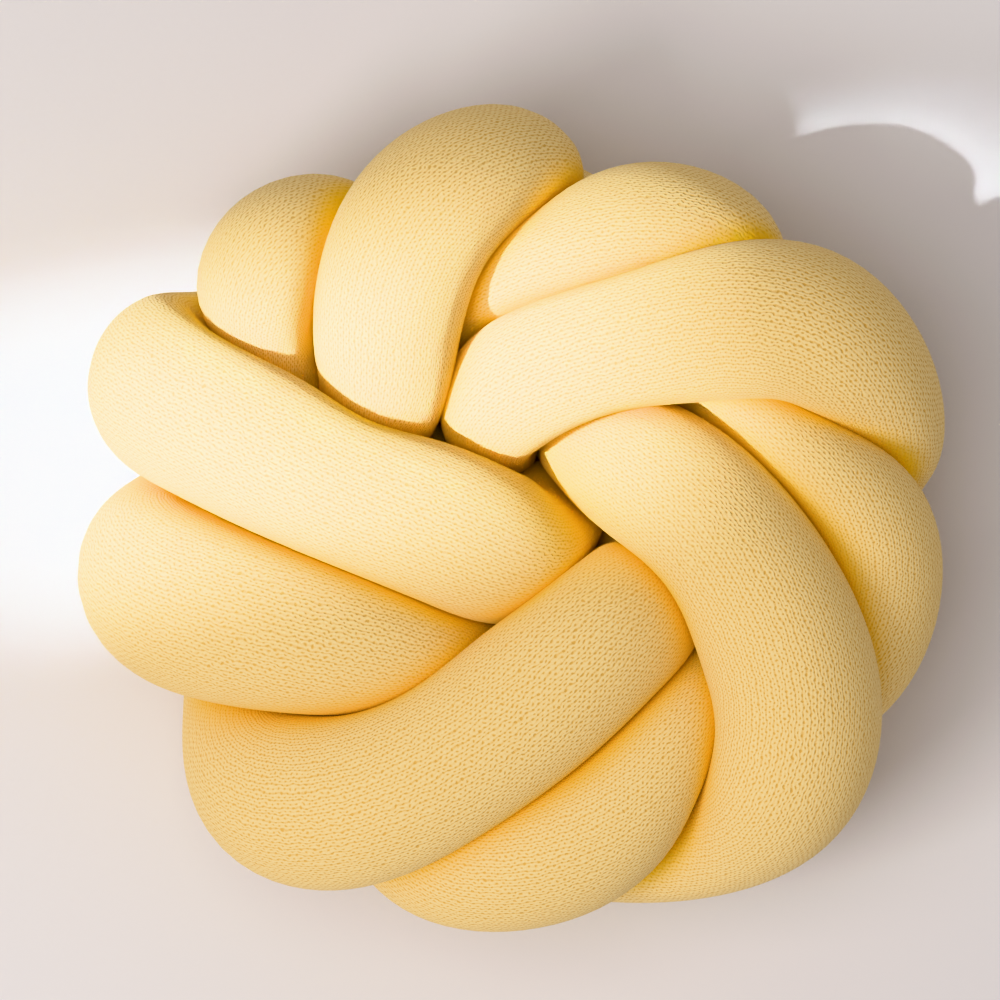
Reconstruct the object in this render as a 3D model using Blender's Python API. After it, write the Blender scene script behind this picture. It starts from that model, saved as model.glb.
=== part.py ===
"""A round cushion knotted from one stuffed tube of plain knit, lying on its back.

The tube is one closed loop. It comes up over the rim ten times, runs over the top towards the
heart of the knot, dives between its neighbours and runs back out underneath.
Metres, +Z up, the floor at z = 0 and the middle of the cushion's footprint at x = y = 0.
"""
import math

import bpy
import numpy as np
from mathutils.bvhtree import BVHTree

MM = 0.001

# Driving sizes, in millimetres
TUBE_RADIUS = 44.0         # of the stuffed tube underneath, where nothing presses on it
UNDER_CLAIM = 35.0         # radius that the tube claims underneath where another strand presses
FLOOR_DROP = 78.0          # from the middle of the cushion down to the floor it lies on
SOLE_DEPTH = 2.5           # how far up from the floor the knit is still pressed flat on it
LAYER_RISE = 39.0          # from the middle of the cushion up to the axis of a top strand
HEART = (23.0, 5.0)        # x and y of the point that the strands circle, a little off the middle
STRAND_GAP = 1.6           # between two strands that press on each other
BULGE_LIMIT = 1.03         # how far a squeezed strand may swell, as a share of its radius
HEIGHTENING = 0.05         # how much higher than round, and narrower, the lying strands are
BEND_LIMIT = 0.72          # how much of a bend's inner radius the tube may fill
BEND_SOFTNESS = 4          # how many times over the bends are evened out along the tube
BEND_DENSITY = 0.7         # how much denser the rings stand where the tube bends
OWN_REACH = 88.0           # how far along the tube its skin starts to press on itself
LEAST_REACH = 6.0          # from the axis to the skin, however hard a strand is pressed
SWELL_ROUNDS = 12
TINY = 1e-3

# How finely the tube is cut, and how many times over its swelling and its skin are evened out
ROUTE_SAMPLES = 600
SPLINE_CUT = 8             # samples of the spline for each sample of the route
RINGS = 270
SIDES = 22
SWELL_SOFTNESS = 4         # of the swelling, along the tube
RING_SOFTNESS = 3          # of the skin, along the tube
SIDE_SOFTNESS = 1          # of the skin, round the tube

# Each strand where it shows on top, in the order in which the tube runs through them: its radius,
# the radius that it claims where others press on it, and the points of its axis from the rim
# inwards, x and y in millimetres and the lift of each as a share of LAYER_RISE.
STRANDS = {
    "east_long": (45, 46, ((154, 40, 0.2), (152, 64, 0.8), (124, 87, 1.0), (92, 91, 1.0),
                           (48, 81, 0.95), (-2, 55, 0.6))),
    "south_short": (44, 43, ((-30, -143, 0.2), (9, -145, 0.5), (52, -126, 0.55),
                             (87, -93, 0.45), (105, -60, -0.1))),
    "north_long": (42, 44, ((-6, 148, 0.3), (-25, 144, 0.8), (-46, 124, 1.0), (-57, 92, 1.0),
                            (-61, 61, 0.82), (-63, 35, 0.05))),
    "east_short": (44, 44, ((143, -56, -0.1), (151, -25, 0.0), (141, 12, 0.1), (118, 40, 0.2),
                            (94, 60, -0.1))),
    "west_long": (45, 46, ((-151, 61, 0.3), (-131, 47, 0.85), (-78, 17, 1.0), (-28, -6, 0.95),
                           (2, -15, 0.6), (23, -4, -0.3))),
    "north_short": (44, 44, ((84, 114, 0.2), (62, 122, 0.6), (29, 118, 0.7), (0, 107, 0.5),
                             (-25, 84, -0.1))),
    "southwest_long": (44, 47, ((-102, -122, 0.3), (-70, -127, 0.85), (-28, -109, 1.0),
                                (12, -79, 1.0), (42, -53, 0.85), (60, -32, 0.35))),
    "northwest_short": (44, 42, ((-92, 115, 0.2), (-110, 103, 0.6), (-115, 80, 0.6),
                                 (-110, 57, 0.5), (-101, 34, -0.2))),
    "southeast_long": (43, 47, ((108, -125, 0.3), (125, -106, 0.85), (128, -80, 1.0),
                                (119, -48, 1.0), (101, -16, 1.0), (78, 10, 0.95),
                                (43, 32, 0.45))),
    "west_short": (47, 46, ((-152, -41, 0.2), (-123, -45, 0.7), (-75, -56, 0.75),
                            (-36, -65, 0.3))),
}

# The way from a strand's last point on top to the next one's first, underneath: the share of the
# turn made, the distance from the heart of the knot after a long and after a short strand, as a
# share of the next rim point's distance, and the lift as a share of LAYER_RISE.
UNDERSIDE = (
    (0.18, 0.16, 0.48, -0.6),
    (0.36, 0.34, 0.55, -1.0),
    (0.54, 0.56, 0.66, -1.0),
    (0.75, 0.76, 0.78, -0.95),
    (0.93, 0.90, 0.90, -0.5),
)

# How the coarse skins of neighbouring strands are drawn apart
PARTING_STEPS = 40
PARTING_MARGIN = 0.15
PARTING_DRAW = 0.7


def azimuth(point):
    """Angle of a plan point about the heart of the knot."""
    return math.atan2(point[1] - HEART[1], point[0] - HEART[0])


def plan_point(angle, share, rim):
    """A plan point some share of the way to the rim, from the heart near it, else from the middle."""
    return (HEART[0] * (1.0 - share) + share * rim * math.cos(angle),
            HEART[1] * (1.0 - share) + share * rim * math.sin(angle))


def route_points():
    """What the tube has at each point of its route, in rows: x, y, z, its radius and its claim."""
    names = list(STRANDS)
    rows = []
    for k, name in enumerate(names):
        radius, claim, stations = STRANDS[name]
        rows += [(x, y, lift * LAYER_RISE, radius, claim) for x, y, lift in stations]
        goal = STRANDS[names[(k + 1) % len(names)]][2][0]
        rim = math.hypot(goal[0], goal[1])
        start = azimuth(stations[-1])
        turn = (azimuth(goal) - start) % (2.0 * math.pi)
        for share, after_long, after_short, lift in UNDERSIDE:
            reach = after_long if name.endswith("long") else after_short
            x, y = plan_point(start + turn * share, reach, rim)
            rows.append((x, y, lift * LAYER_RISE, TUBE_RADIUS, UNDER_CLAIM))
    return np.array(rows, dtype=float)


def tube_route():
    """The same rows at even steps along the route, whose axis is a closed cubic spline."""
    rows = route_points()
    points = rows[:, :3]
    count = len(points)
    step = np.linalg.norm(np.roll(points, -1, 0) - points, axis=1) ** 0.5
    slope = (np.roll(points, -1, 0) - points) / step[:, None]
    before = np.roll(step, 1)
    row = np.arange(count)
    matrix = np.zeros((count, count))
    matrix[row, row] = 2.0 * (before + step)
    matrix[row, (row - 1) % count] = step
    matrix[row, (row + 1) % count] = before
    pull = 3.0 * (np.roll(slope, 1, 0) * step[:, None] + slope * before[:, None])
    tangent = np.linalg.solve(matrix, pull)
    knots = np.concatenate(([0.0], np.cumsum(step)))
    t = np.linspace(0.0, knots[-1], SPLINE_CUT * ROUTE_SAMPLES, endpoint=False)
    i = np.searchsorted(knots, t, side="right") - 1
    j = (i + 1) % count
    h = step[i][:, None]
    u = (t - knots[i])[:, None] / h
    curve = ((2 * u ** 3 - 3 * u ** 2 + 1) * points[i] + (u ** 3 - 2 * u ** 2 + u) * h * tangent[i]
             + (3 * u ** 2 - 2 * u ** 3) * points[j] + (u ** 3 - u ** 2) * h * tangent[j])
    sizes = rows[i, 3:] * (1.0 - u) + rows[j, 3:] * u
    return spaced(np.hstack((curve, sizes)), np.ones(len(curve)), ROUTE_SAMPLES)[:, :-1]


def spaced(rows, density, count):
    """The rows of a closed route, taken again at steps that are shorter where it is denser.

    The last column is the way from the route's start to each new row.
    """
    closed = np.vstack((rows, rows[:1]))
    steps = np.linalg.norm(np.diff(closed[:, :3], axis=0), axis=1)
    place = np.concatenate(([0.0], np.cumsum(steps)))
    measure = np.concatenate(([0.0], np.cumsum(steps * density)))
    at = np.linspace(0.0, measure[-1], count, endpoint=False)
    columns = np.vstack((closed.T, place))
    return np.column_stack([np.interp(at, measure, column) for column in columns])


def bend_of(curve):
    """The curvature vectors of an evenly spaced closed curve, and the step between its points."""
    ahead = np.roll(curve, -1, 0) - curve
    step = np.linalg.norm(ahead, axis=1).mean()
    return (ahead - np.roll(ahead, 1, 0)) / step ** 2, step


def blur(values, passes):
    """A three-point running mean along the first axis of closed values, some times over."""
    for _ in range(passes):
        values = 0.25 * np.roll(values, 1, 0) + 0.5 * values + 0.25 * np.roll(values, -1, 0)
    return values


def moving_frame(curve):
    """Two directions across the closed curve at each point, without a twist at the join."""
    count = len(curve)
    tangent = np.roll(curve, -1, 0) - np.roll(curve, 1, 0)
    tangent /= np.linalg.norm(tangent, axis=1, keepdims=True)
    side = np.zeros((count + 1, 3))
    side[0] = np.cross(tangent[0], (0.0, 0.0, 1.0))
    side[0] /= np.linalg.norm(side[0])
    for k in range(1, count + 1):
        ahead = tangent[k % count]
        side[k] = side[k - 1] - side[k - 1].dot(ahead) * ahead
        side[k] /= np.linalg.norm(side[k])
    slip = math.atan2(np.cross(side[count], side[0]).dot(tangent[0]), side[count].dot(side[0]))
    turn = (slip * np.arange(count) / count)[:, None]
    side = side[:count]
    across = side * np.cos(turn) + np.cross(tangent, side) * np.sin(turn)
    return across, np.cross(tangent, across)


def pressed_reach(route, rings, sides):
    """The axis point of each ring, its rays and how far the skin lies out along each ray.

    Two strands that press on each other meet in the plane that shares the room between them by
    their claims. A strand that is squeezed on one side swells a little where it is free.
    """
    bend, step = bend_of(route[:, :3])
    bend = blur(bend, BEND_SOFTNESS)
    place = step * np.arange(len(route))
    length = step * len(route)
    density = 1.0 + BEND_DENSITY * TUBE_RADIUS * np.linalg.norm(bend, axis=1)
    sampled = spaced(np.hstack((route, bend)), density, rings)
    centre, radius, claim = sampled[:, :3], sampled[:, 3], sampled[:, 4]
    across, upward = moving_frame(centre)
    angle = 2.0 * math.pi * np.arange(sides) / sides
    ray = (across[:, None, :] * np.cos(angle)[None, :, None]
           + upward[:, None, :] * np.sin(angle)[None, :, None])
    inward = np.maximum(np.einsum("ijk,ik->ij", ray, sampled[:, 5:8]), TINY)
    limit = BEND_LIMIT / inward
    down = np.maximum(-ray[:, :, 2], TINY)
    limit = np.minimum(limit, (centre[:, 2:3] + FLOOR_DROP) / down)
    for k in range(rings):
        along = np.abs(place - sampled[k, -1])
        far = np.minimum(along, length - along) > OWN_REACH
        offset = route[far, :3] - centre[k]
        toward = np.maximum(ray[k] @ offset.T, TINY)
        shared = (offset ** 2).sum(1) + claim[k] ** 2 - route[far, 4] ** 2
        meeting = (shared[None, :] / (2.0 * toward)).min(1)
        limit[k] = np.minimum(limit[k], meeting - 0.5 * STRAND_GAP)
    limit = np.maximum(limit, LEAST_REACH)
    swell = radius.copy()
    for _ in range(SWELL_ROUNDS):
        area = 0.5 * math.sin(angle[1]) * np.minimum(limit, swell[:, None]) ** 2
        share = area.sum(1) / (math.pi * radius ** 2)
        swell = np.clip(swell * share ** -0.5, radius, BULGE_LIMIT * radius)
    lying = np.minimum(1.0, (centre[:, 2] / LAYER_RISE) ** 2)[:, None]
    oval = 1.0 - HEIGHTENING * lying * (1.0 - 2.0 * ray[:, :, 2] ** 2)
    reach = np.minimum(limit, blur(swell, SWELL_SOFTNESS)[:, None] * oval)
    soft = blur(blur(reach, RING_SOFTNESS).T, SIDE_SOFTNESS).T
    return centre, ray, np.minimum(soft, limit)


def tube_faces(rings, sides):
    """The triangles of a closed tube whose points run ring by ring."""
    faces = []
    for i in range(rings):
        ahead = (i + 1) % rings
        for j in range(sides):
            beside = (j + 1) % sides
            a, b = i * sides + j, i * sides + beside
            c, d = ahead * sides + beside, ahead * sides + j
            faces += [(a, b, c), (a, c, d)]
    return faces


def part_strands(centre, ray, reach, faces):
    """Draw the skin in wherever two strands still cut into each other."""
    corners = np.array(faces)
    linked = [set(face) for face in faces]
    for _ in range(PARTING_STEPS):
        skin = centre[:, None, :] + ray * (reach + PARTING_MARGIN)[:, :, None]
        tree = BVHTree.FromPolygons(skin.reshape(-1, 3).tolist(), faces, all_triangles=True)
        crossing = [a for a, b in tree.overlap(tree) if not linked[a] & linked[b]]
        if not crossing:
            break
        caught = np.zeros(reach.size)
        caught[corners[crossing].ravel()] = 1.0
        reach = np.maximum(reach - PARTING_DRAW * caught.reshape(reach.shape), TINY)
    return reach


def knotted_tube():
    """The whole stuffed tube as one closed skin."""
    centre, ray, reach = pressed_reach(tube_route(), RINGS, SIDES)
    faces = tube_faces(RINGS, SIDES)
    reach = part_strands(centre, ray, reach, faces)
    skin = centre[:, None, :] + ray * reach[:, :, None]
    skin[:, :, 2] += FLOOR_DROP
    skin[:, :, 2][skin[:, :, 2] < SOLE_DEPTH] = 0.0
    skin[:, :, :2] -= 0.5 * (skin.min((0, 1)) + skin.max((0, 1)))[None, None, :2]
    mesh = bpy.data.meshes.new("knotted_tube")
    mesh.from_pydata((skin.reshape(-1, 3) * MM).tolist(), [], faces)
    mesh.update()
    return mesh


def knit_material():
    """Soft plain knit in warm yellow."""
    material = bpy.data.materials.new("knit_fabric")
    material.use_nodes = True
    shader = material.node_tree.nodes["Principled BSDF"]
    shader.inputs["Base Color"].default_value = (0.90, 0.58, 0.15, 1.0)
    shader.inputs["Roughness"].default_value = 0.9
    shader.inputs["Metallic"].default_value = 0.0
    return material


def build():
    for thing in list(bpy.data.objects):
        bpy.data.objects.remove(thing, do_unlink=True)
    mesh = knotted_tube()
    mesh.materials.append(knit_material())
    mesh.shade_smooth()
    cushion = bpy.data.objects.new("knotted_tube", mesh)
    bpy.context.scene.collection.objects.link(cushion)


build()
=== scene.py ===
"""Looks of the knotted cushion: one long tube of plain knit, stuffed and turned into a round knot.

The tube follows nearly the same route as the solid it stands for, with a finer skin, and the
stitches run along it in columns, one beside the other all round the tube.
"""
import math

import bpy
import numpy as np
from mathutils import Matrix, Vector


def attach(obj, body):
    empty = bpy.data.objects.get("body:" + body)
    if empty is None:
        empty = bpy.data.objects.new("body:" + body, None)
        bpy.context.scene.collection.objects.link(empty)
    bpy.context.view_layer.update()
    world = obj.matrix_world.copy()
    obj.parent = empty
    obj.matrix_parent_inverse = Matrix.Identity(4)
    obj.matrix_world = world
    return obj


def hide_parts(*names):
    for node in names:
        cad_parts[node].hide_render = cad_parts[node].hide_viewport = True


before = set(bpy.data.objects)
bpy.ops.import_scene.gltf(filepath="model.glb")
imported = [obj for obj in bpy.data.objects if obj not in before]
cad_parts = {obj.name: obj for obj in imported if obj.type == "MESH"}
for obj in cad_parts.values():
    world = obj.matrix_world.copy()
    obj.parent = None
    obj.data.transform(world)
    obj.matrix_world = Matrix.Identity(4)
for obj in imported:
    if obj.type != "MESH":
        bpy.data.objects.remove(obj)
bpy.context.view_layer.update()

MM = 0.001

# The tube, in millimetres, much as the solid has it
TUBE_RADIUS = 44.0         # of the stuffed tube underneath, where nothing presses on it
UNDER_CLAIM = 35.0         # radius that the tube claims underneath where another strand presses
FLOOR_DROP = 78.0          # from the middle of the cushion down to the floor it lies on
SOLE_DEPTH = 0.3           # how far up from the floor the knit is still pressed flat on it
LAYER_RISE = 39.0          # from the middle of the cushion up to the axis of a top strand
HEART = (23.0, 5.0)        # x and y of the point that the strands circle, a little off the middle
STRAND_GAP = 0.1           # between two strands that press on each other
BULGE_LIMIT = 1.03         # how far a squeezed strand may swell, as a share of its radius
HEIGHTENING = 0.05         # how much higher than round, and narrower, the lying strands are
BEND_LIMIT = 0.72          # how much of a bend's inner radius the tube may fill
BEND_SOFTNESS = 16         # how many times over the bends are evened out along the tube
BEND_DENSITY = 0.7         # how much denser the rings stand where the tube bends
OWN_REACH = 88.0           # how far along the tube its skin starts to press on itself
LEAST_REACH = 6.0          # from the axis to the skin, however hard a strand is pressed
SWELL_ROUNDS = 12
TINY = 1e-3
TURN = 2.0 * math.pi

# How finely the tube is cut, and how many times over its swelling and its skin are evened out
ROUTE_SAMPLES = 1200
SPLINE_CUT = 8             # samples of the spline for each sample of the route
RINGS = 1000
SIDES = 96
SWELL_SOFTNESS = 40        # of the swelling, along the tube
RING_SOFTNESS = 36         # of the skin, along the tube
SIDE_SOFTNESS = 16         # of the skin, round the tube
EDGE_SOFTNESS = 6          # of the edges where strands press on each other, both ways

# The knit: plain stitches in columns along the tube, in millimetres
COLUMNS = 84               # stitch columns round the tube, 3.3 mm apart
COURSE_HEIGHT = 3.3        # from one row of stitches to the next, along the outside of a bend
STITCH_RELIEF = 0.2        # from the top of a yarn down into the dimple between stitches
DIMPLE_SHARE = 0.7         # of the relief that is the dimples, the rest is the column grooves
DIMPLE_TIGHTNESS = 1.2     # how small the dimples are between the yarns, along a column
DIMPLE_SLIMNESS = 1.0      # how much slimmer than that they are across it
GROOVE_LEAD = 0.1          # how much more the groove between columns shows than that in a stitch
YARN_HAIR = 0.9            # from one loose hair of the yarn to the next
HAIR_SHARE = 0.6           # of the stitch relief that the hairs add
UNEVEN_OVER = 5.0          # length over which the stitches wander
UNEVEN_BY = 1.0            # how far they wander, in stitches
GROOVE_SHARPNESS = 4.0     # how narrow both grooves are
# yarn colour at the stitch tops, and painted shade, darker and deeper in colour towards the
# bottoms of the dimples and grooves
YARN_AND_SHADE_COLOURS = ((0.15, "#FEE8AE"), (1.0, "#DEB05E"), (0.5, "#F8D792"))
SHEEN_COLOUR = "#FFF0C4"
KNIT_FINISH = {"Roughness": 0.95, "Specular IOR Level": 0.15,
               "Sheen Weight": 0.25, "Sheen Roughness": 0.6}
PAINTED_CREASE_LIGHT = "#FFD200"  # painted light: the glow of light that has passed from yarn to yarn, between two strands
CREASE_WIDTH = 5.0         # how far from the touching line it is clearly seen
CREASE_SHARE = 0.95
HEART_WIDTH = 34.0         # how far from the heart of the knot the same painted light is seen
HEART_TOP = 158.0          # the height above the floor up to which it reaches
HEART_FADE = 34.0          # how far below that it is seen in full

# Each strand where it shows on top, in the order in which the tube runs through them: its radius,
# the radius that it claims where others press on it, and the points of its axis from the rim
# inwards, x and y in millimetres and the lift of each as a share of LAYER_RISE.
STRANDS = {
    "east_long": (45, 46, ((154, 22, -0.5), (152, 57, 0.45), (129, 84, 1.0), (93, 89, 1.0),
                           (48, 80, 0.95), (-2, 55, 0.6))),
    "south_short": (44, 43, ((-30, -143, 0.2), (9, -145, 0.5), (52, -126, 0.55),
                             (87, -93, 0.45), (105, -60, -0.1))),
    "north_long": (42, 44, ((-6, 148, 0.3), (-25, 144, 0.8), (-46, 124, 1.0), (-57, 92, 1.0),
                            (-61, 61, 0.82), (-63, 35, 0.05))),
    "east_short": (44, 44, ((146, -56, -0.1), (156, -22, 0.1), (150, 14, 0.45), (130, 40, 0.65),
                            (103, 57, 0.35))),
    "west_long": (45, 46, ((-151, 61, 0.3), (-131, 47, 0.85), (-78, 17, 1.0), (-28, -6, 0.95),
                           (2, -15, 0.6), (21, 1, -0.3))),
    "north_short": (44, 44, ((84, 114, 0.2), (62, 122, 0.6), (29, 118, 0.7), (0, 107, 0.5),
                             (-25, 84, -0.1))),
    "southwest_long": (44, 47, ((-102, -122, 0.3), (-70, -127, 0.85), (-28, -109, 1.0),
                                (12, -79, 1.0), (42, -53, 0.85), (60, -32, 0.35))),
    "northwest_short": (44, 42, ((-92, 115, 0.2), (-110, 103, 0.6), (-115, 80, 0.6),
                                 (-110, 57, 0.5), (-101, 34, -0.2))),
    "southeast_long": (43, 47, ((108, -125, 0.3), (125, -106, 0.85), (128, -80, 1.0),
                                (119, -48, 1.0), (101, -16, 1.0), (78, 10, 0.95),
                                (39, 34, 0.4))),
    "west_short": (47, 46, ((-154, -27, 0.25), (-125, -42, 0.72), (-75, -56, 0.75),
                            (-36, -65, 0.3))),
}

# The way from a strand's last point on top to the next one's first, underneath: the share of the
# turn made, the distance from the heart of the knot after a long and after a short strand, as a
# share of the next rim point's distance, and the lift as a share of LAYER_RISE.
UNDERSIDE = (
    (0.18, 0.16, 0.48, -0.6),
    (0.36, 0.34, 0.55, -1.0),
    (0.54, 0.56, 0.66, -1.0),
    (0.75, 0.76, 0.78, -0.95),
    (0.93, 0.90, 0.90, -0.5),
)

# The view: straight down, the frame's middle a little off the cushion's
FRAME_WIDTH = 465.1        # of the scene across the picture, at the height of the outline
FRAME_MIDDLE = (-5.6, 8.4)
OUTLINE_HEIGHT = 80.0
CAMERA_HEIGHT = 4000.0
SENSOR_WIDTH = 36.0
CLIP_RANGE = (0.1, 20.0)   # in metres

# The room, in metres
FLOOR_HALF = 3.0           # from the middle of the floor to its edges
FLOOR_COLOUR = "#E4E2E6"
FLOOR_FINISH = {"Roughness": 0.95, "Specular IOR Level": 0.1}
ROOM_COLOUR = "#F7F0EB"
ROOM_STRENGTH = 0.44

# The soft boxes: name, point of the cushion that each looks at in mm, azimuth and elevation in
# degrees, distance, width and height, spread in degrees, power in watts and colour
SOFT_BOXES = (
    ("key", (0, 0, 80), 211.0, 50.0, 2.4, (1.0, 1.0), 180.0, 25.5, "#FFFAF4"),
    ("band", (-110, 46, 100), 191.0, 46.0, 1.6, (0.125, 0.34), 3.5, 0.66, "#F0FAFF"),
    ("overhead", (0, 0, 80), 190.0, 78.0, 2.2, (1.4, 1.4), 180.0, 16.0, "#FFFAF4"),
)


def azimuth(point):
    """Angle of a plan point about the heart of the knot."""
    return math.atan2(point[1] - HEART[1], point[0] - HEART[0])


def plan_point(angle, share, rim):
    """A plan point some share of the way to the rim.

    The way starts at the heart for points near it, and at the middle for those near the rim.
    """
    return (HEART[0] * (1.0 - share) + share * rim * math.cos(angle),
            HEART[1] * (1.0 - share) + share * rim * math.sin(angle))


def route_points():
    """What the tube has at each point of its route, in rows: x, y, z, its radius and its claim."""
    names = list(STRANDS)
    rows = []
    for k, name in enumerate(names):
        radius, claim, stations = STRANDS[name]
        rows += [(x, y, lift * LAYER_RISE, radius, claim) for x, y, lift in stations]
        goal = STRANDS[names[(k + 1) % len(names)]][2][0]
        rim = math.hypot(goal[0], goal[1])
        start = azimuth(stations[-1])
        turn = (azimuth(goal) - start) % TURN
        for share, after_long, after_short, lift in UNDERSIDE:
            reach = after_long if name.endswith("long") else after_short
            x, y = plan_point(start + turn * share, reach, rim)
            rows.append((x, y, lift * LAYER_RISE, TUBE_RADIUS, UNDER_CLAIM))
    return np.array(rows, dtype=float)


def tube_route():
    """The same rows at even steps along the route, whose axis is a closed cubic spline."""
    rows = route_points()
    points = rows[:, :3]
    count = len(points)
    step = np.linalg.norm(np.roll(points, -1, 0) - points, axis=1) ** 0.5
    slope = (np.roll(points, -1, 0) - points) / step[:, None]
    before = np.roll(step, 1)
    row = np.arange(count)
    matrix = np.zeros((count, count))
    matrix[row, row] = 2.0 * (before + step)
    matrix[row, (row - 1) % count] = step
    matrix[row, (row + 1) % count] = before
    pull = 3.0 * (np.roll(slope, 1, 0) * step[:, None] + slope * before[:, None])
    tangent = np.linalg.solve(matrix, pull)
    knots = np.concatenate(([0.0], np.cumsum(step)))
    t = np.linspace(0.0, knots[-1], SPLINE_CUT * ROUTE_SAMPLES, endpoint=False)
    i = np.searchsorted(knots, t, side="right") - 1
    j = (i + 1) % count
    h = step[i][:, None]
    u = (t - knots[i])[:, None] / h
    curve = ((2 * u ** 3 - 3 * u ** 2 + 1) * points[i] + (u ** 3 - 2 * u ** 2 + u) * h * tangent[i]
             + (3 * u ** 2 - 2 * u ** 3) * points[j] + (u ** 3 - u ** 2) * h * tangent[j])
    sizes = rows[i, 3:] * (1.0 - u) + rows[j, 3:] * u
    return spaced(np.hstack((curve, sizes)), np.ones(len(curve)), ROUTE_SAMPLES)[:, :-1]


def spaced(rows, density, count):
    """The rows of a closed route, taken again at steps that are shorter where it is denser.

    The last column is the way from the route's start to each new row.
    """
    closed = np.vstack((rows, rows[:1]))
    steps = np.linalg.norm(np.diff(closed[:, :3], axis=0), axis=1)
    place = np.concatenate(([0.0], np.cumsum(steps)))
    measure = np.concatenate(([0.0], np.cumsum(steps * density)))
    at = np.linspace(0.0, measure[-1], count, endpoint=False)
    columns = np.vstack((closed.T, place))
    return np.column_stack([np.interp(at, measure, column) for column in columns])


def bend_of(curve):
    """The curvature vectors of an evenly spaced closed curve, and the step between its points."""
    ahead = np.roll(curve, -1, 0) - curve
    step = np.linalg.norm(ahead, axis=1).mean()
    return (ahead - np.roll(ahead, 1, 0)) / step ** 2, step


def blur(values, passes):
    """A three-point running mean along the first axis of closed values, some times over."""
    for _ in range(passes):
        values = 0.25 * np.roll(values, 1, 0) + 0.5 * values + 0.25 * np.roll(values, -1, 0)
    return values


def moving_frame(curve):
    """Two directions across the closed curve at each point, without a twist at the join."""
    count = len(curve)
    tangent = np.roll(curve, -1, 0) - np.roll(curve, 1, 0)
    tangent /= np.linalg.norm(tangent, axis=1, keepdims=True)
    side = np.zeros((count + 1, 3))
    side[0] = np.cross(tangent[0], (0.0, 0.0, 1.0))
    side[0] /= np.linalg.norm(side[0])
    for k in range(1, count + 1):
        ahead = tangent[k % count]
        side[k] = side[k - 1] - side[k - 1].dot(ahead) * ahead
        side[k] /= np.linalg.norm(side[k])
    slip = math.atan2(np.cross(side[count], side[0]).dot(tangent[0]), side[count].dot(side[0]))
    turn = (slip * np.arange(count) / count)[:, None]
    side = side[:count]
    across = side * np.cos(turn) + np.cross(tangent, side) * np.sin(turn)
    return across, np.cross(tangent, across)


def pressed_reach(route, rings, sides):
    """What the skin has at each ring: its axis point, rays, reaches and the mask of painted crease
    light.

    The mask of painted crease light is 1 where a neighbouring strand touches. The last thing given
    is the length of the knit, drawn out along the outside of the bends.

    Two strands that press on each other meet in the plane that shares the room between them by
    their claims. A strand that is squeezed on one side swells a little where it is free.

    The last evening-out isn't held to that plane, so skins that press pass into each other, mostly
    by under a millimetre. At the heart of the knot they do so by up to 16.
    """
    bend, step = bend_of(route[:, :3])
    bend = blur(bend, BEND_SOFTNESS)
    place = step * np.arange(len(route))
    length = step * len(route)
    density = 1.0 + BEND_DENSITY * TUBE_RADIUS * np.linalg.norm(bend, axis=1)
    sampled = spaced(np.hstack((route, bend)), density, rings)
    centre, radius, claim = sampled[:, :3], sampled[:, 3], sampled[:, 4]
    across, upward = moving_frame(centre)
    angle = TURN * np.arange(sides) / sides
    ray = (across[:, None, :] * np.cos(angle)[None, :, None]
           + upward[:, None, :] * np.sin(angle)[None, :, None])
    inward = np.maximum(np.einsum("ijk,ik->ij", ray, sampled[:, 5:8]), TINY)
    limit = BEND_LIMIT / inward
    down = np.maximum(-ray[:, :, 2], TINY)
    limit = np.minimum(limit, (centre[:, 2:3] + FLOOR_DROP) / down)
    meeting = np.empty_like(limit)
    for k in range(rings):
        along = np.abs(place - sampled[k, -1])
        far = np.minimum(along, length - along) > OWN_REACH
        offset = route[far, :3] - centre[k]
        toward = np.maximum(ray[k] @ offset.T, TINY)
        shared = (offset ** 2).sum(1) + claim[k] ** 2 - route[far, 4] ** 2
        meeting[k] = (shared[None, :] / (2.0 * toward)).min(1) - 0.5 * STRAND_GAP
    limit = np.maximum(np.minimum(limit, meeting), LEAST_REACH)
    swell = radius.copy()
    for _ in range(SWELL_ROUNDS):
        area = 0.5 * math.sin(angle[1]) * np.minimum(limit, swell[:, None]) ** 2
        share = area.sum(1) / (math.pi * radius ** 2)
        swell = np.clip(swell * share ** -0.5, radius, BULGE_LIMIT * radius)
    lying = np.minimum(1.0, (centre[:, 2] / LAYER_RISE) ** 2)[:, None]
    oval = 1.0 - HEIGHTENING * lying * (1.0 - 2.0 * ray[:, :, 2] ** 2)
    reach = np.minimum(limit, blur(swell, SWELL_SOFTNESS)[:, None] * oval)
    soft = blur(blur(reach, RING_SOFTNESS).T, SIDE_SOFTNESS).T
    reach = np.minimum(soft, limit)
    reach = blur(blur(reach, EDGE_SOFTNESS).T, EDGE_SOFTNESS).T
    # painted crease light: 1 where strands touch, fading over CREASE_WIDTH away from the meeting
    # plane
    painted_glow_mask = np.exp(-np.maximum(meeting - reach, 0.0) / CREASE_WIDTH)
    return centre, ray, reach, painted_glow_mask, step * density.sum()


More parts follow.
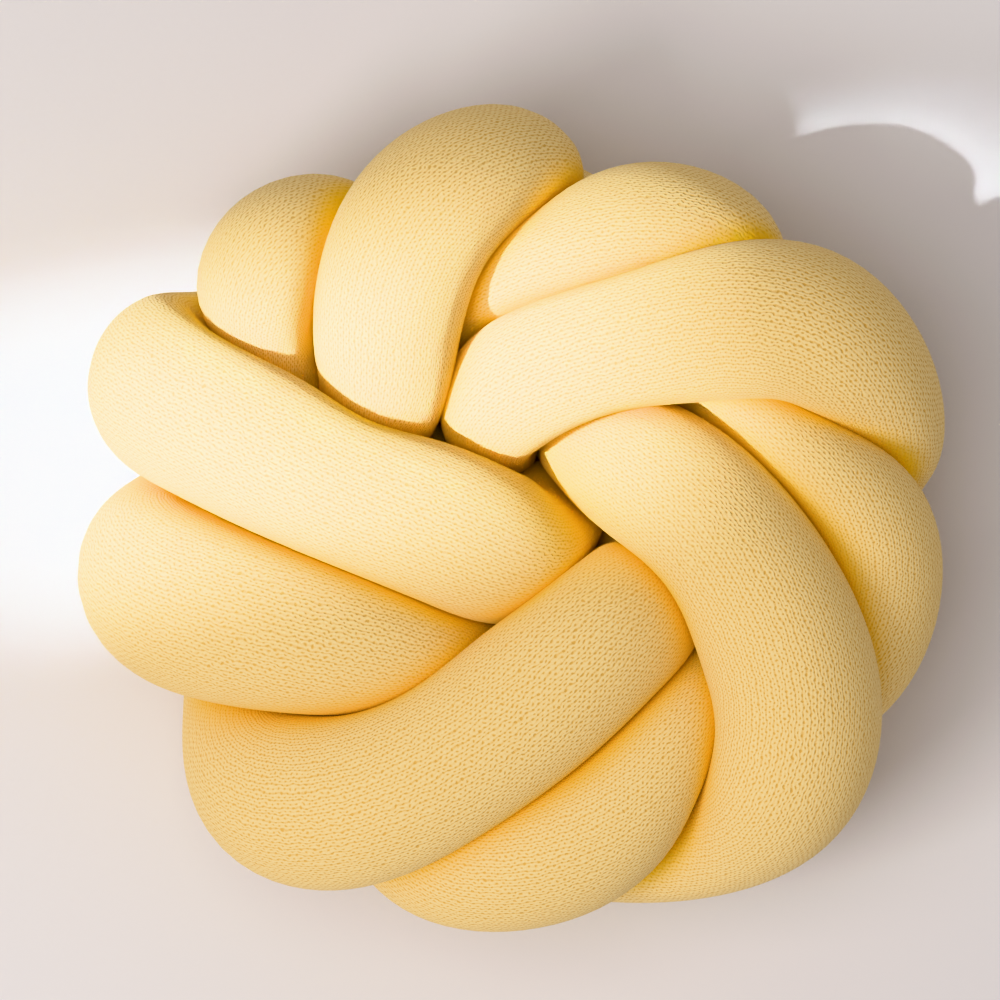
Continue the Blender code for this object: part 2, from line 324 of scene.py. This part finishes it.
def tube_mesh(name, skin, painted_glow_mask, courses):
    """A closed tube of four-sided faces, with a UV map that counts stitch columns and courses."""
    rings, sides = skin.shape[:2]
    faces, spots = [], []
    for i in range(rings):
        ahead = (i + 1) % rings
        for j in range(sides):
            beside = (j + 1) % sides
            faces.append((i * sides + j, i * sides + beside,
                          ahead * sides + beside, ahead * sides + j))
            spots += [(j, i), (j + 1, i), (j + 1, i + 1), (j, i + 1)]
    mesh = bpy.data.meshes.new(name)
    mesh.from_pydata(skin.reshape(-1, 3).tolist(), [], faces)
    stitches = mesh.uv_layers.new(name="stitches")
    counted = np.array(spots, dtype=float) * (COLUMNS / sides, courses / rings)
    stitches.data.foreach_set("uv", counted.ravel())
    # the mask of painted light between strands and at the heart of the knot
    near = mesh.attributes.new("painted_glow_mask", "FLOAT", "POINT")
    near.data.foreach_set("value", painted_glow_mask.ravel())
    mesh.shade_smooth()
    mesh.update()
    return mesh


def knit_cushion():
    """The whole cushion as one closed skin, lying where the solid lies."""
    centre, ray, reach, painted_glow_mask, drawn_length = pressed_reach(tube_route(), RINGS, SIDES)
    skin = centre[:, None, :] + ray * reach[:, :, None]
    skin[:, :, 2] += FLOOR_DROP
    # painted light: a glow near the heart of the knot, below HEART_TOP, added to the painted
    # crease light
    from_heart = np.linalg.norm(skin[:, :, :2] - HEART, axis=2)
    sunk = np.clip((HEART_TOP - skin[:, :, 2]) / HEART_FADE, 0.0, 1.0)
    painted_glow_mask = np.maximum(painted_glow_mask, sunk * np.exp(-(from_heart / HEART_WIDTH) ** 2))
    skin[:, :, 2][skin[:, :, 2] < SOLE_DEPTH] = 0.0
    skin[:, :, :2] -= 0.5 * (skin.min((0, 1)) + skin.max((0, 1)))[None, None, :2]
    mesh = tube_mesh("knit_cushion", skin * MM, painted_glow_mask, round(drawn_length / COURSE_HEIGHT))
    cushion = bpy.data.objects.new("knit_cushion", mesh)
    bpy.context.scene.collection.objects.link(cushion)
    return cushion


def linear(code):
    """An sRGB hex colour as the linear colour that a shader takes."""
    parts = [int(code[i:i + 2], 16) / 255.0 for i in (1, 3, 5)]
    return (*[c / 12.92 if c <= 0.04045 else ((c + 0.055) / 1.055) ** 2.4 for c in parts], 1.0)


def add(tree, kind, feeds=(), **settings):
    """A node of a kind, with its settings, and a value or a link for each of its named inputs."""
    node = tree.nodes.new(kind)
    for name, value in settings.items():
        setattr(node, name, value)
    for key, value in dict(feeds).items():
        if isinstance(value, bpy.types.NodeSocket):
            tree.links.new(value, node.inputs[key])
        else:
            node.inputs[key].default_value = value
    return node


def plain_knit():
    """Plain knit of soft cotton yarn, stuffed taut, so the eye sees rows of small soft dimples.

    There is a dimple in the fork of each stitch and one between four stitches, in staggered
    rows, and a shallow groove between two columns and between the two legs of a stitch. Little
    light gets out of them, and what does has met the yarn a few times, so their shade is painted
    into the colour, deeper towards their bottoms. Where two strands touch and near the heart of
    the knot, light passed from yarn to yarn is painted in as a deep yellow glow. The hairy yarn
    has no gloss and catches a pale sheen where the cloth turns away.
    """
    material = bpy.data.materials.new("plain_knit_cotton")
    material.use_nodes = True
    tree = material.node_tree
    shader = tree.nodes["Principled BSDF"]

    def reckon(operation, first, second=0.0, third=0.0):
        feeds = {0: first, 1: second, 2: third}
        return add(tree, "ShaderNodeMath", feeds, operation=operation).outputs[0]

    body = add(tree, "ShaderNodeTexCoord").outputs["Object"]
    spot = add(tree, "ShaderNodeUVMap", uv_map="stitches").outputs["UV"]
    drift = add(tree, "ShaderNodeTexNoise", {"Vector": body, "Scale": 1.0 / (UNEVEN_OVER * MM)})
    slip = add(tree, "ShaderNodeVectorMath", {0: drift.outputs["Color"], 1: (0.5, 0.5, 0.5)},
               operation="SUBTRACT").outputs[0]
    laid = add(tree, "ShaderNodeVectorMath", {0: slip, 1: (UNEVEN_BY, UNEVEN_BY, 0.0), 2: spot},
               operation="MULTIPLY_ADD").outputs[0]
    count = add(tree, "ShaderNodeSeparateXYZ", {0: laid})
    column = reckon("COSINE", reckon("MULTIPLY", count.outputs["X"], TURN))
    course = reckon("COSINE", reckon("MULTIPLY", count.outputs["Y"], TURN))
    dimple = reckon("MAXIMUM", reckon("MULTIPLY", column, course), 0.0)
    dimple = reckon("MULTIPLY", reckon("POWER", dimple, DIMPLE_TIGHTNESS),
                    reckon("POWER", reckon("ABSOLUTE", column), DIMPLE_SLIMNESS))
    groove = reckon("POWER", reckon("ABSOLUTE", reckon("ADD", column, GROOVE_LEAD)),
                    GROOVE_SHARPNESS)
    depth = reckon("ADD", reckon("MULTIPLY", dimple, DIMPLE_SHARE),
                   reckon("MULTIPLY", groove, 1.0 - DIMPLE_SHARE))
    hair = add(tree, "ShaderNodeTexNoise", {"Vector": body, "Scale": 1.0 / (YARN_HAIR * MM),
                                            "Detail": 2.0}).outputs["Fac"]
    sunk = reckon("MULTIPLY_ADD", hair, HAIR_SHARE, depth)
    bump = add(tree, "ShaderNodeBump", {"Distance": STITCH_RELIEF * MM, "Height": sunk},
               invert=True)
    # yarn colour at the tops, painted shade towards the bottoms of the dimples and grooves
    yarn_and_shade = add(tree, "ShaderNodeValToRGB", {"Fac": sunk})
    for k, (at, code) in enumerate(YARN_AND_SHADE_COLOURS):
        stop = yarn_and_shade.color_ramp.elements[k] if k < 2 else yarn_and_shade.color_ramp.elements.new(at)
        stop.position, stop.color = at, linear(code)
    # painted light: the deep yellow glow between strands and at the heart of the knot, mixed into
    # the base colour
    near = add(tree, "ShaderNodeAttribute", attribute_name="painted_glow_mask").outputs["Fac"]
    glow = add(tree, "ShaderNodeMix", {"Factor": reckon("MULTIPLY", near, CREASE_SHARE),
                                       "A": yarn_and_shade.outputs["Color"], "B": linear(PAINTED_CREASE_LIGHT)},
               data_type="RGBA")
    tree.links.new(glow.outputs["Result"], shader.inputs["Base Color"])
    tree.links.new(bump.outputs["Normal"], shader.inputs["Normal"])
    for key, value in KNIT_FINISH.items():
        shader.inputs[key].default_value = value
    shader.inputs["Sheen Tint"].default_value = linear(SHEEN_COLOUR)
    return material


def floor_paint():
    """Matt emulsion on a plain board: pale, slightly pink grey, no gloss."""
    material = bpy.data.materials.new("matt_emulsion")
    material.use_nodes = True
    shader = material.node_tree.nodes["Principled BSDF"]
    shader.inputs["Base Color"].default_value = linear(FLOOR_COLOUR)
    for key, value in FLOOR_FINISH.items():
        shader.inputs[key].default_value = value
    return material


def pale_floor():
    """A wide plain floor at z = 0, under the cushion."""
    half = FLOOR_HALF
    mesh = bpy.data.meshes.new("floor")
    mesh.from_pydata([(-half, -half, 0), (half, -half, 0), (half, half, 0), (-half, half, 0)],
                     [], [(0, 1, 2, 3)])
    mesh.materials.append(floor_paint())
    board = bpy.data.objects.new("floor", mesh)
    bpy.context.scene.collection.objects.link(board)
    return board


def soft_light(name, aim, azimuth_deg, elevation_deg, distance, sides, spread_deg, power, code):
    """A soft box, wide by tall, that looks at a point of the cushion, in mm, from a direction."""
    light = bpy.data.lights.new(name, "AREA")
    light.energy = power
    light.shape = "RECTANGLE"
    light.size, light.size_y = sides
    light.spread = math.radians(spread_deg)
    light.color = linear(code)[:3]
    lamp = bpy.data.objects.new(name, light)
    turn, rise = math.radians(azimuth_deg), math.radians(elevation_deg)
    way = Vector((math.cos(turn) * math.cos(rise), math.sin(turn) * math.cos(rise),
                  math.sin(rise)))
    lamp.location = Vector(aim) * MM + way * distance
    lamp.rotation_euler = (-way).to_track_quat("-Z", "Y").to_euler()
    bpy.context.scene.collection.objects.link(lamp)


def studio():
    """Plain soft light: a key from the lower left, a band of light from the left, a pale room."""
    for box in SOFT_BOXES:
        soft_light(*box)
    world = bpy.data.worlds.new("room")
    world.use_nodes = True
    backdrop = world.node_tree.nodes["Background"]
    backdrop.inputs["Color"].default_value = linear(ROOM_COLOUR)
    backdrop.inputs["Strength"].default_value = ROOM_STRENGTH
    bpy.context.scene.world = world


def camera():
    """A long lens straight above the cushion."""
    data = bpy.data.cameras.new("camera")
    data.sensor_width = SENSOR_WIDTH
    data.lens = SENSOR_WIDTH * (CAMERA_HEIGHT - OUTLINE_HEIGHT) / FRAME_WIDTH
    eye = bpy.data.objects.new("camera", data)
    eye.location = (FRAME_MIDDLE[0] * MM, FRAME_MIDDLE[1] * MM, CAMERA_HEIGHT * MM)
    data.clip_start, data.clip_end = CLIP_RANGE
    bpy.context.scene.collection.objects.link(eye)
    bpy.context.scene.camera = eye


bpy.context.scene.view_settings.view_transform = "Khronos PBR Neutral"
cushion = knit_cushion()
cushion.data.materials.append(plain_knit())
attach(cushion, "root")
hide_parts("knotted_tube")
pale_floor()
studio()
camera()
